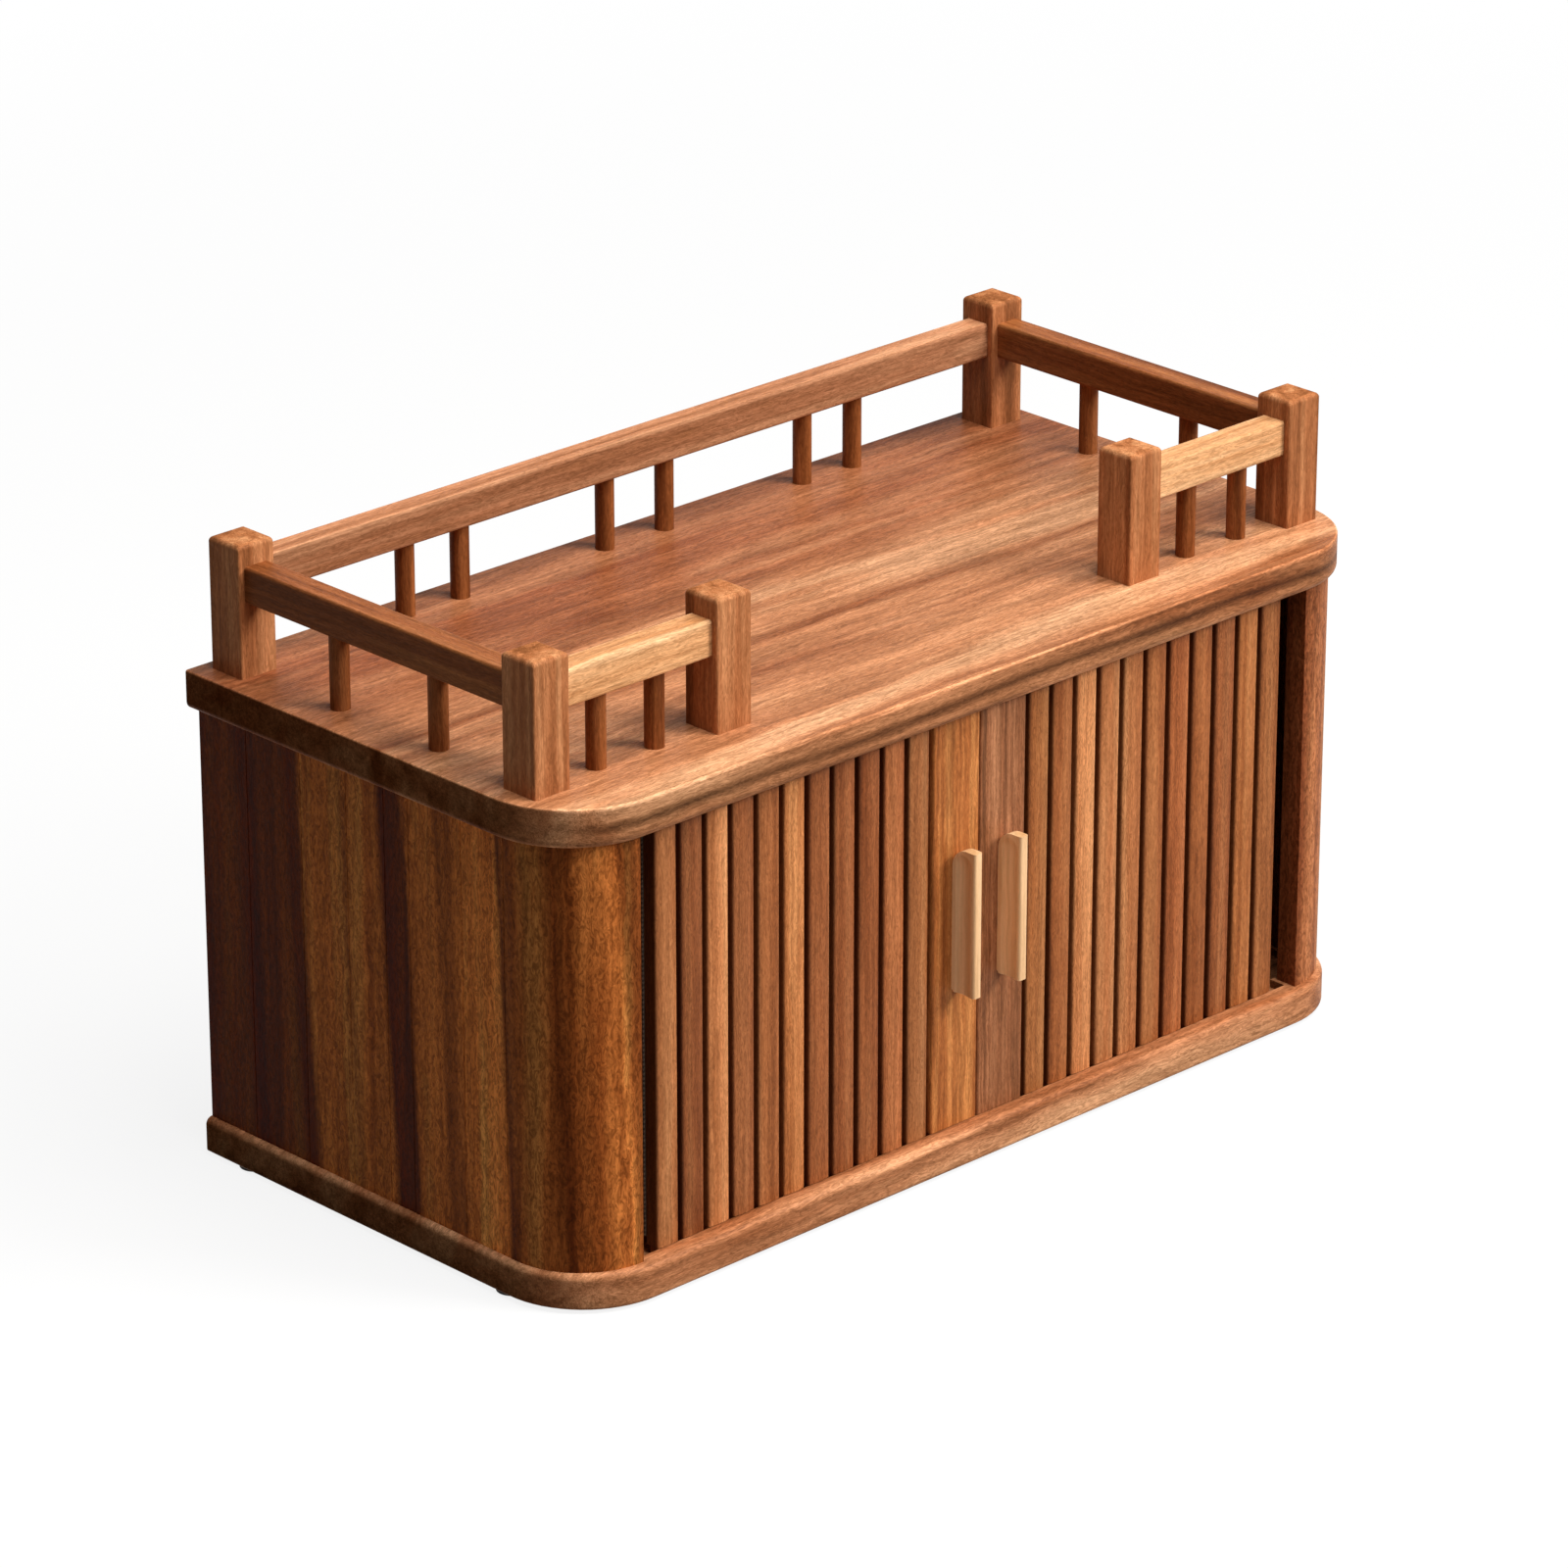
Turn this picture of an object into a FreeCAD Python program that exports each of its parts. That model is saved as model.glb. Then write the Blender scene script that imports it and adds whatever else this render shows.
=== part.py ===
import FreeCAD, Part
import math
import os

from FreeCAD import Vector

# A tabletop cabinet with two tambour doors and an open gallery rail.
# Millimetres. X runs along the front to the right, Y to the back, Z up.
# The origin is on the surface it stands on, midway between the sides and between front and back.
# "side" is +1 for the right half and -1 for the left half.

# Overall sizes
cabinetWidth = 450.0
cabinetDepth = 220.0
innerHeight = 176.5
baseThickness = 15.0
topThickness = 16.5
topSetback = 1.4
baseSideInset = 2.7
cornerRadius = 40.0
footHeight = 1.5
footDiameter = 13.0
footEdgeInset = 1.5
footBackInset = 20.5
footFrontInset = 46.5

# Board edges
topOverRound = 0.9
topUnderRound = 3.5
baseOverRound = 3.0
baseUnderRound = 1.5
edgeBand = 30.0

# Side panels
panelThickness = 10.0
panelOverhang = 5.6
panelFrontInset = 3.9
panelCornerRadius = 34.5
panelBackInset = 0.5
staveJointWidth = 0.5
staveJointDepth = 0.35
staveWidths = (28.0, 32.0, 27.0, 22.0, 14.0, 30.0, 24.0)
backThickness = 6.0
backInset = 2.0

# Gallery rail
postSize = 18.0
postHeight = 55.0
postSideInset = 8.8
postBackInset = 5.5
postFrontInset = 27.5
innerPostSpacing = 227.0
postTopRound = 2.0
postEdgeRound = 0.8
railThickness = 12.0
railHeight = 15.0
railDrop = 9.0
railEdgeRound = 1.2
tenonLength = 5.0
tenonShoulder = 2.5
spindleDiameter = 8.0
socketDepth = 5.0
socketClearance = 0.05
backSpindlePlaces = (-124.0, -95.0, -16.5, 16.5, 95.0, 124.0)
sideSpindlePlaces = (-16.0, 41.0)
frontSpindleSpacing = 30.0
frontSpindleShift = 1.65

# Door curtains
slatCount = 11
slatThickness = 6.5
slatGap = 2.2
curtainEndGap = 10.8
slatCrown = 0.5
slatEdgeRound = 0.9
slatSetback = 3.5
leadWidth = 25.6
leadThickness = 9.0
leadEdgeRound = 1.0
leadMeetingGap = 0.4
clothThickness = 0.5
clothEndInset = 4.0
clothSplit = 0.2
curtainGroups = (2, 3, 3, 3)
doorClearance = 0.3

# Tongues and the rebate they run in
tongueThickness = 3.5
tongueSetback = 1.5
tongueLength = 3.0
tongueEndInset = 0.6
rebateDepth = 3.5
rebateWall = 2.0
rebateFrontLand = 0.5
rebateBackInset = 17.5

# Pull fins
pullHeight = 61.8
pullCentre = 106.9
pullDepth = 12.5
pullLip = 4.4
pullScoop = 0.7
pullScoopRim = 2.0
pullTopRound = 8.0
pullBottomBevel = 1.2
pullNoseRound = 1.2

# Screws
screwDiameter = 4.0
screwHeadDiameter = 8.0
screwHeadHeight = 2.2
screwHeadLand = 0.4
screwLength = 30.0
screwSlotWidth = 0.9
screwSlotDepth = 0.8
screwClearance = 0.15
baseScrewPlaces = (-45.0, 12.0, 62.0)
pullScrewDiameter = 1.8
pullScrewHeadDiameter = 4.4
pullScrewHeadHeight = 1.4
pullScrewBite = 5.0
pullScrewSpacing = 32.0

# Places that follow from the sizes
halfWidth = cabinetWidth / 2
baseHalfWidth = halfWidth - baseSideInset
pullStandOut = pullDepth - panelFrontInset - slatSetback
backY = (cabinetDepth + pullStandOut) / 2
baseFrontY = backY - cabinetDepth
topFrontY = baseFrontY + topSetback
baseTop = footHeight + baseThickness
ceiling = baseTop + innerHeight
deck = ceiling + topThickness
panelOuterX = halfWidth - panelOverhang
panelInnerX = panelOuterX - panelThickness
panelFrontY = baseFrontY + panelFrontInset
panelBackY = backY - panelBackInset
openingX = panelOuterX - panelCornerRadius
cornerCentreY = panelFrontY + panelCornerRadius
slatFrontY = panelFrontY + slatSetback
slatBackY = slatFrontY + slatThickness
leadBackY = slatFrontY + leadThickness
slatPitch = (openingX - curtainEndGap - leadWidth) / slatCount
slatWidth = slatPitch - slatGap
tongueFrontY = slatFrontY + tongueSetback
rebateFrontY = panelFrontY + panelThickness + rebateWall
rebateCornerRadius = panelCornerRadius - panelThickness - rebateWall
postX = halfWidth - postSideInset - postSize / 2
postBackY = backY - postBackInset - postSize / 2
postFrontY = baseFrontY + postFrontInset + postSize / 2
innerPostX = innerPostSpacing / 2
railTop = deck + postHeight - railDrop
railBottom = railTop - railHeight
up = Vector(0, 0, 1)


def save(shape, node):
    shape.exportStep("parts/" + node + ".step")


def block(x0, x1, y0, y1, z0, z1):
    low = Vector(min(x0, x1), min(y0, y1), z0)
    return Part.makeBox(abs(x1 - x0), abs(y1 - y0), z1 - z0, low)


def rod(x, y, z0, z1, diameter):
    return Part.makeCylinder(diameter / 2, z1 - z0, Vector(x, y, z0), up)


def prism(points, z0, z1):
    outline = Part.makePolygon([Vector(x, y, z0) for x, y in points + points[:1]])
    return Part.Face(outline).extrude(Vector(0, 0, z1 - z0))


def arcPoint(centreX, centreY, radius, degrees):
    angle = math.radians(degrees)
    return Vector(centreX + radius * math.cos(angle), centreY + radius * math.sin(angle), 0)


def cornerArc(side, radius, centreX, centreY, z):
    # The quarter turn at a front corner, from the side round to the front
    points = []
    for degrees in (0, -45, -90):
        point = arcPoint(0, 0, radius, degrees)
        points.append(Vector(side * (centreX + point.x), centreY + point.y, z))
    return points


def uShape(halfX, frontY, endY, radius, z0, z1):
    # A plan outline with square back corners and round front corners
    centreX = halfX - radius
    centreY = frontY + radius
    left = cornerArc(-1, radius, centreX, centreY, z0)
    right = cornerArc(1, radius, centreX, centreY, z0)
    backLeft = Vector(-halfX, endY, z0)
    backRight = Vector(halfX, endY, z0)
    edges = [
        Part.makeLine(backLeft, left[0]),
        Part.Arc(*left).toShape(),
        Part.makeLine(left[2], right[2]),
        Part.Arc(right[2], right[1], right[0]).toShape(),
        Part.makeLine(right[0], backRight),
        Part.makeLine(backRight, backLeft),
    ]
    return Part.Face(Part.Wire(edges)).extrude(Vector(0, 0, z1 - z0))


def edgePath(halfX, frontY, z):
    # The outer line of a board: left side, front and right side in one
    centreX = halfX - cornerRadius
    centreY = frontY + cornerRadius
    left = cornerArc(-1, cornerRadius, centreX, centreY, z)
    right = cornerArc(1, cornerRadius, centreX, centreY, z)
    edges = [
        Part.makeLine(Vector(-halfX, backY, z), left[0]),
        Part.Arc(*left).toShape(),
        Part.makeLine(left[2], right[2]),
        Part.Arc(right[2], right[1], right[0]).toShape(),
        Part.makeLine(right[0], Vector(halfX, backY, z)),
    ]
    return Part.Wire(edges)


def edgeProfile(halfX, z0, thickness, underRound, overRound):
    # A section through the edge at the left back end: rounded below, flat, rounded above
    def point(inset, height):
        return Vector(-halfX + inset, backY, z0 + height)

    lowBend = underRound * (1 - math.sqrt(0.5))
    highBend = overRound * (1 - math.sqrt(0.5))
    innerLow = point(edgeBand, 0)
    under = point(underRound, 0)
    underBend = point(lowBend, lowBend)
    sideLow = point(0, underRound)
    sideHigh = point(0, thickness - overRound)
    overBend = point(highBend, thickness - highBend)
    over = point(overRound, thickness)
    innerHigh = point(edgeBand, thickness)
    return Part.Wire([
        Part.makeLine(innerLow, under),
        Part.Arc(under, underBend, sideLow).toShape(),
        Part.makeLine(sideLow, sideHigh),
        Part.Arc(sideHigh, overBend, over).toShape(),
        Part.makeLine(over, innerHigh),
        Part.makeLine(innerHigh, innerLow),
    ])


def edgedBoard(halfX, frontY, z0, thickness, underRound, overRound):
    # A moulded band swept round the edge, filled in by a plain core
    profile = edgeProfile(halfX, z0, thickness, underRound, overRound)
    band = edgePath(halfX, frontY, z0).makePipeShell([profile], True, True)
    core = uShape(halfX - edgeBand, frontY + edgeBand, backY, cornerRadius - edgeBand, z0, z0 + thickness)
    return band.fuse(core).removeSplitter()


def rebate(z0, z1):
    # Follows the inner face of the side panels, and runs forward under the doors between them
    inner = uShape(panelInnerX - rebateWall, rebateFrontY, backY - rebateBackInset, rebateCornerRadius, z0, z1)
    reach = openingX - rebateWall
    doorway = block(-reach, reach, slatFrontY + rebateFrontLand, rebateFrontY + rebateWall, z0, z1)
    return inner.fuse(doorway).removeSplitter()


def screw(x, y, headZ, upwards, length, diameter, headDiameter, headHeight, grow):
    # A countersunk screw with its head face at headZ, pointing up or down; grow widens it for its hole
    direction = Vector(0, 0, 1 if upwards else -1)
    start = Vector(x, y, headZ)
    radius = diameter / 2 + grow
    headRadius = headDiameter / 2 + grow
    land = Part.makeCylinder(headRadius, screwHeadLand, start, direction)
    coneStart = start + direction * screwHeadLand
    cone = Part.makeCone(headRadius, radius, headHeight, coneStart, direction)
    shankStart = coneStart + direction * headHeight
    shank = Part.makeCylinder(radius, length + grow - screwHeadLand - headHeight, shankStart, direction)
    return land.fuse([cone, shank]).removeSplitter()


def postPlaces():
    return {
        "back_left_post": (-postX, postBackY),
        "back_right_post": (postX, postBackY),
        "front_left_post": (-postX, postFrontY),
        "front_right_post": (postX, postFrontY),
        "inner_left_post": (-innerPostX, postFrontY),
        "inner_right_post": (innerPostX, postFrontY),
    }


def postScrew(x, y, grow):
    return screw(x, y, ceiling + rebateDepth, True, screwLength, screwDiameter, screwHeadDiameter,
                 screwHeadHeight, grow)


def baseScrew(side, y, grow):
    x = side * (panelOuterX - panelThickness / 2)
    return screw(x, y, footHeight, True, screwLength, screwDiameter, screwHeadDiameter, screwHeadHeight, grow)


def slotted(screwShape, x, y, headZ):
    half = screwHeadDiameter
    cut = block(x - half, x + half, y - screwSlotWidth / 2, y + screwSlotWidth / 2,
                headZ, headZ + screwSlotDepth)
    return screwShape.cut(cut)


def cabinetScrews():
    screws = []
    for x, y in postPlaces().values():
        screws.append(slotted(postScrew(x, y, 0), x, y, ceiling + rebateDepth))
    for side in (-1, 1):
        for y in baseScrewPlaces:
            x = side * (panelOuterX - panelThickness / 2)
            screws.append(slotted(baseScrew(side, y, 0), x, y, footHeight))
    return Part.Compound(screws)


def spindlePlaces():
    places = {"back_spindles": [(x, postBackY) for x in backSpindlePlaces]}
    for name, side in (("left", -1), ("right", 1)):
        places[name + "_spindles"] = [(side * postX, y) for y in sideSpindlePlaces]
    middle = (innerPostX + postX) / 2 + frontSpindleShift
    front = [middle + step * frontSpindleSpacing / 2 for step in (-1, 1)]
    places["front_spindles"] = [(side * x, postFrontY) for side in (-1, 1) for x in front]
    return places


def spindleSockets():
    # One bore per spindle, from the blind hole in the board to the one in the rail
    bores = []
    for group in spindlePlaces().values():
        for x, y in group:
            bores.append(rod(x, y, deck - socketDepth, railBottom + socketDepth,
                             spindleDiameter + 2 * socketClearance))
    return bores


def topBoard(sockets):
    board = edgedBoard(halfWidth, topFrontY, ceiling, topThickness, topUnderRound, topOverRound)
    cuts = [rebate(ceiling, ceiling + rebateDepth)] + sockets
    for x, y in postPlaces().values():
        cuts.append(postScrew(x, y, screwClearance))
        cuts.append(rod(x, y, ceiling, ceiling + rebateDepth, screwHeadDiameter + 2 * screwClearance))
    return board.cut(cuts)


def baseBoard():
    board = edgedBoard(baseHalfWidth, baseFrontY, footHeight, baseThickness, baseUnderRound, baseOverRound)
    cuts = [rebate(baseTop - rebateDepth, baseTop)]
    for side in (-1, 1):
        for y in baseScrewPlaces:
            cuts.append(baseScrew(side, y, screwClearance))
    return board.cut(cuts)


def sidePanel(side):
    # One run of staves along the side, then the quarter round to the door opening
    outer = cornerArc(side, panelCornerRadius, openingX, cornerCentreY, baseTop)
    inner = cornerArc(side, panelCornerRadius - panelThickness, openingX, cornerCentreY, baseTop)
    backOuter = Vector(side * panelOuterX, panelBackY, baseTop)
    backInner = Vector(side * panelInnerX, panelBackY, baseTop)
    outline = Part.Wire([
        Part.makeLine(backOuter, outer[0]),
        Part.Arc(*outer).toShape(),
        Part.makeLine(outer[2], inner[2]),
        Part.Arc(inner[2], inner[1], inner[0]).toShape(),
        Part.makeLine(inner[0], backInner),
        Part.makeLine(backInner, backOuter),
    ])
    panel = Part.Face(outline).extrude(Vector(0, 0, innerHeight))
    cuts = []
    y = panelBackY
    for width in staveWidths:
        y -= width
        half = staveJointWidth / 2
        face = side * panelOuterX
        cuts.append(prism([(face, y - half), (face, y + half), (face - side * staveJointDepth, y)],
                          baseTop, ceiling))
    for place in baseScrewPlaces:
        cuts.append(baseScrew(side, place, screwClearance))
    return panel.cut(cuts)


def backPanel():
    return block(-panelInnerX, panelInnerX, backY - backInset - backThickness, backY - backInset,
                 baseTop, ceiling)


def roundedEdges(shape, radius, test):
    return shape.makeFillet(radius, [edge for edge in shape.Edges if test(edge)])


def alongAxis(edge, axis):
    ends = [vertex.Point for vertex in edge.Vertexes]
    if len(ends) != 2:
        return False
    run = ends[1] - ends[0]
    return abs(abs(run.dot(axis)) - run.Length) < 1e-6


def post(x, y, tenons):
    half = postSize / 2
    body = block(x - half, x + half, y - half, y + half, deck, deck + postHeight)
    body = roundedEdges(body, postEdgeRound, lambda edge: alongAxis(edge, up))
    top = deck + postHeight
    body = roundedEdges(body, postTopRound, lambda edge: abs(edge.CenterOfMass.z - top) < 1e-6)
    return body.cut([postScrew(x, y, screwClearance)] + tenons)


def rail(x0, y0, x1, y1, sockets, grow):
    # A rail between two post centres, with a tenon at each end; grow widens the tenons for their mortises
    half = railThickness / 2
    thin = half - tenonShoulder
    low = railBottom + tenonShoulder - grow
    high = railTop - tenonShoulder + grow
    reach = postSize / 2
    if y0 == y1:
        beam = block(x0 + reach, x1 - reach, y0 - half, y0 + half, railBottom, railTop)
        tongue = block(x0 + reach - tenonLength - grow, x1 - reach + tenonLength + grow,
                       y0 - thin - grow, y0 + thin + grow, low, high)
        axis = Vector(1, 0, 0)
    else:
        beam = block(x0 - half, x0 + half, y0 + reach, y1 - reach, railBottom, railTop)
        tongue = block(x0 - thin - grow, x0 + thin + grow,
                       y0 + reach - tenonLength - grow, y1 - reach + tenonLength + grow, low, high)
        axis = Vector(0, 1, 0)
    if grow:
        return tongue
    beam = roundedEdges(beam, railEdgeRound, lambda edge: alongAxis(edge, axis))
    return beam.fuse(tongue).removeSplitter().cut(sockets)


def railRuns():
    return {
        "back_rail": (-postX, postBackY, postX, postBackY),
        "left_rail": (-postX, postFrontY, -postX, postBackY),
        "right_rail": (postX, postFrontY, postX, postBackY),
        "front_left_rail": (-postX, postFrontY, -innerPostX, postFrontY),
        "front_right_rail": (innerPostX, postFrontY, postX, postFrontY),
    }


def feet():
    pads = []
    for side in (-1, 1):
        x = side * (baseHalfWidth - footEdgeInset - footDiameter / 2)
        for y in (baseFrontY + footFrontInset, backY - footBackInset):
            pads.append(rod(x, y, 0, footHeight, footDiameter))
    return Part.Compound(pads)


def slatCentre(number):
    # Distance of a slat's middle from the cabinet's middle, counted outwards from the lead stile
    return leadWidth + slatGap + slatWidth / 2 + (number - 1) * slatPitch


def tongue(x0, x1, z0, z1):
    return block(x0, x1, tongueFrontY, tongueFrontY + tongueThickness, z0, z1)


def slat(side, number):
    centre = side * slatCentre(number)
    half = slatWidth / 2
    low = baseTop + doorClearance
    high = ceiling - doorClearance
    shoulderY = slatFrontY + slatCrown
    outline = Part.Wire([
        Part.makeLine(Vector(centre - half, slatBackY, low), Vector(centre - half, shoulderY, low)),
        Part.Arc(Vector(centre - half, shoulderY, low), Vector(centre, slatFrontY, low),
                 Vector(centre + half, shoulderY, low)).toShape(),
        Part.makeLine(Vector(centre + half, shoulderY, low), Vector(centre + half, slatBackY, low)),
        Part.makeLine(Vector(centre + half, slatBackY, low), Vector(centre - half, slatBackY, low)),
    ])
    body = Part.Face(outline).extrude(Vector(0, 0, high - low))
    body = roundedEdges(body, slatEdgeRound,
                        lambda edge: alongAxis(edge, up) and edge.CenterOfMass.y < shoulderY + 1e-6)
    reach = half - tongueEndInset
    return body.fuse([
        tongue(centre - reach, centre + reach, low - tongueLength, low),
        tongue(centre - reach, centre + reach, high, high + tongueLength),
    ]).removeSplitter()


def pullScrewHeights():
    middle = pullCentre
    return (middle - pullScrewSpacing / 2, middle + pullScrewSpacing / 2)


def pullScrew(side, z, grow):
    # Points to the front from the back of the lead stile
    x = side * leadWidth / 2
    radius = pullScrewDiameter / 2 + grow
    headRadius = pullScrewHeadDiameter / 2 + grow
    forward = Vector(0, -1, 0)
    start = Vector(x, leadBackY, z)
    land = Part.makeCylinder(headRadius, screwHeadLand, start, forward)
    cone = Part.makeCone(headRadius, radius, pullScrewHeadHeight, start + forward * screwHeadLand, forward)
    shankStart = start + forward * (screwHeadLand + pullScrewHeadHeight)
    shankLength = leadThickness + pullScrewBite + grow - screwHeadLand - pullScrewHeadHeight
    shank = Part.makeCylinder(radius, shankLength, shankStart, forward)
    return land.fuse([cone, shank]).removeSplitter()


def pullScrews(side):
    x = side * leadWidth / 2
    half = pullScrewHeadDiameter
    screws = []
    for z in pullScrewHeights():
        cut = block(x - half, x + half, leadBackY - screwSlotDepth, leadBackY,
                    z - screwSlotWidth / 2, z + screwSlotWidth / 2)
        screws.append(pullScrew(side, z, 0).cut(cut))
    return Part.Compound(screws)


def leadStile(side):
    inner = side * leadMeetingGap / 2
    outer = side * leadWidth
    low = baseTop + doorClearance
    high = ceiling - doorClearance
    body = block(inner, outer, slatFrontY, leadBackY, low, high)
    body = roundedEdges(body, leadEdgeRound,
                        lambda edge: alongAxis(edge, up) and edge.CenterOfMass.y < slatFrontY + 1e-6)
    near = inner + side * tongueEndInset
    far = outer - side * tongueEndInset
    body = body.fuse([
        tongue(near, far, low - tongueLength, low),
        tongue(near, far, high, high + tongueLength),
    ]).removeSplitter()
    return body.cut([pullScrew(side, z, screwClearance) for z in pullScrewHeights()])


def pullOutline(x):
    # Side view of the fin: a round shoulder at the top of its foot and a bevel at the bottom
    footY = slatFrontY
    noseY = slatFrontY - pullDepth
    low = pullCentre - pullHeight / 2
    high = pullCentre + pullHeight / 2
    swing = pullTopRound * math.sqrt(0.5)
    centreY = footY - pullTopRound
    centreZ = high - pullTopRound
    return Part.Wire([
        Part.makeLine(Vector(x, footY, low + pullBottomBevel), Vector(x, footY, centreZ)),
        Part.Arc(Vector(x, footY, centreZ), Vector(x, centreY + swing, centreZ + swing),
                 Vector(x, centreY, high)).toShape(),
        Part.makeLine(Vector(x, centreY, high), Vector(x, noseY, high)),
        Part.makeLine(Vector(x, noseY, high), Vector(x, noseY, low)),
        Part.makeLine(Vector(x, noseY, low), Vector(x, footY - pullBottomBevel, low)),
        Part.makeLine(Vector(x, footY - pullBottomBevel, low), Vector(x, footY, low + pullBottomBevel)),
    ])


def pullScoopTool(x, direction):
    # A long hollow in one broad face of the fin, round at the top and open at the bottom
    reach = pullDepth / 2 - pullScoopRim
    radius = (reach ** 2 + pullScoop ** 2) / (2 * pullScoop)
    centreX = x + direction * (pullLip / 2 - pullScoop + radius)
    centreY = slatFrontY - pullDepth / 2
    low = pullCentre - pullHeight / 2
    high = pullCentre + pullHeight / 2 - pullScoopRim - reach
    bar = rod(centreX, centreY, low, high, 2 * radius)
    return bar.fuse(Part.makeSphere(radius, Vector(centreX, centreY, high)))


def pull(side):
    centre = side * leadWidth / 2
    half = pullLip / 2
    body = Part.Face(pullOutline(centre - half)).extrude(Vector(pullLip, 0, 0))
    nose = slatFrontY - pullDepth
    body = roundedEdges(body, pullNoseRound,
                        lambda edge: alongAxis(edge, up) and abs(edge.CenterOfMass.y - nose) < 1e-6)
    cuts = [pullScoopTool(centre, 1), pullScoopTool(centre, -1)]
    cuts += [pullScrew(side, z, screwClearance) for z in pullScrewHeights()]
    return body.cut(cuts)


def clothStrip(side, start, count):
    # Glued to the backs of one group of slats, ending just short of the next bend line
    near = leadWidth + slatGap / 2 + start * slatPitch + clothSplit / 2
    far = near + count * slatPitch - clothSplit
    return block(side * near, side * far, slatBackY, slatBackY + clothThickness,
                 baseTop + clothEndInset, ceiling - clothEndInset)


def main():
    os.makedirs("parts", exist_ok=True)
    sockets = spindleSockets()
    mortises = [rail(*run, [], socketClearance) for run in railRuns().values()]
    save(topBoard(sockets), "top_board")
    save(baseBoard(), "base_board")
    save(backPanel(), "back_panel")
    save(feet(), "feet")
    save(cabinetScrews(), "cabinet_screws")
    for node, (x, y) in postPlaces().items():
        save(post(x, y, mortises), node)
    for node, run in railRuns().items():
        save(rail(*run, sockets, 0), node)
    for node, group in spindlePlaces().items():
        low = deck - socketDepth
        high = railBottom + socketDepth
        save(Part.Compound([rod(x, y, low, high, spindleDiameter) for x, y in group]), node)
    for name, side in (("left", -1), ("right", 1)):
        save(sidePanel(side), name + "_side_panel")
        save(leadStile(side), name + "_lead_stile")
        save(pull(side), name + "_pull")
        save(pullScrews(side), name + "_pull_screws")
        for number in range(1, slatCount + 1):
            save(slat(side, number), "%s_slat_%02d" % (name, number))
        start = 0
        for index, count in enumerate(curtainGroups, 1):
            save(clothStrip(side, start, count), "%s_cloth_%d" % (name, index))
            start += count


main()
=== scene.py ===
import math

import bpy
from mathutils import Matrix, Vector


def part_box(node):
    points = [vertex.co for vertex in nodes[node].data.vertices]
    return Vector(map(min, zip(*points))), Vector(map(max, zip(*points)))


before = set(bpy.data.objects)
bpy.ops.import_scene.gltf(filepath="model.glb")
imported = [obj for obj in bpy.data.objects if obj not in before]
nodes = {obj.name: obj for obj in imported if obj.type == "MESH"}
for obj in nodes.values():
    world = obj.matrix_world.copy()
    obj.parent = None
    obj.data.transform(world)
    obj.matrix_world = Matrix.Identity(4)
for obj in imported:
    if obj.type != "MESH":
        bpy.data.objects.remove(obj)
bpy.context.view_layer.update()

# A tabletop cabinet with tambour doors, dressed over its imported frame. Metres, front towards -Y.
perMetre = 1000.0  # millimetres in a metre; a name that ends in Mm is in millimetres
print("frame loaded:", len(nodes), "nodes")


def linearColour(hexText):
    # sRGB hex to the linear values that the shader works in
    channels = [int(hexText[i:i + 2], 16) / 255 for i in (1, 3, 5)]
    return [c / 12.92 if c <= 0.04045 else ((c + 0.055) / 1.055) ** 2.4 for c in channels] + [1.0]


def grey(value):
    return (value, value, value, 1.0)


def warmShade(level):
    # A darker spot in oiled wood loses blue first and red last
    return (level ** 0.9, level, level ** 1.15, 1.0)


def addNode(tree, kind, settings=None, inputs=None):
    # Settings are the node's own options. An input is a plain value, or the socket that feeds it.
    node = tree.nodes.new(kind)
    for key, value in (settings or {}).items():
        setattr(node, key, value)
    for key, value in (inputs or {}).items():
        if isinstance(value, bpy.types.NodeSocket):
            tree.links.new(value, node.inputs[key])
        else:
            node.inputs[key].default_value = value
    return node


def newMaterial(name):
    material = bpy.data.materials.new(name)
    material.use_nodes = True
    material.node_tree.nodes.clear()
    return material, material.node_tree


def setStops(node, stops, constant=False):
    # Fills a colour ramp with (place, colour) stops and gives back its colour
    ramp = node.color_ramp
    ramp.interpolation = "CONSTANT" if constant else "LINEAR"
    while len(ramp.elements) > 1:
        ramp.elements.remove(ramp.elements[-1])
    ramp.elements[0].position, ramp.elements[0].color = stops[0]
    for place, colour in stops[1:]:
        ramp.elements.new(place).color = colour
    return node.outputs["Color"]


# What all the wood shares. Each layer of grain is a noise with its own detail and roughness, and all but
# the fleck have the same twist in every look.
woodLook = {
    "noise": {"curl": (1.0, 0.5), "band": (3.0, 0.5), "ribbon": (4.0, 0.5), "streak": (3.0, 0.6),
              "fleck": (2.0, 0.55), "pore": (2.0, 0.65)},
    "twist": {"curl": 0.0, "band": 0.7, "ribbon": 0.6, "streak": 0.2, "pore": 0.2},
    "spanAt": (0.36, 0.62), "poreAt": (0.3, 0.6), "poreDullness": 0.15, "fleckDepth": 0.5,
    "bumpDistance": 0.0004, "levelFrom": 0.9, "levelTo": 0.995, "endGrainPower": 4.0,
}


def grainLayer(tree, source, look, layer):
    # One noise, stretched along the grain, at the layer's own size in millimetres along and across it
    longMm, wideMm = look["grainMm"][layer]
    scale = [perMetre / wideMm] * 3
    scale["XYZ".index(look["along"])] = perMetre / longMm
    scaled = addNode(tree, "ShaderNodeMapping", inputs={
        "Scale": scale, "Location": look["shift"], "Vector": source}).outputs["Vector"]
    detail, roughness = woodLook["noise"][layer]
    return addNode(tree, "ShaderNodeTexNoise", inputs={
        "Scale": 1.0, "Detail": detail, "Roughness": roughness, "Vector": scaled,
        "Distortion": woodLook["twist"].get(layer, look["fleckTwist"])})


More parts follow.
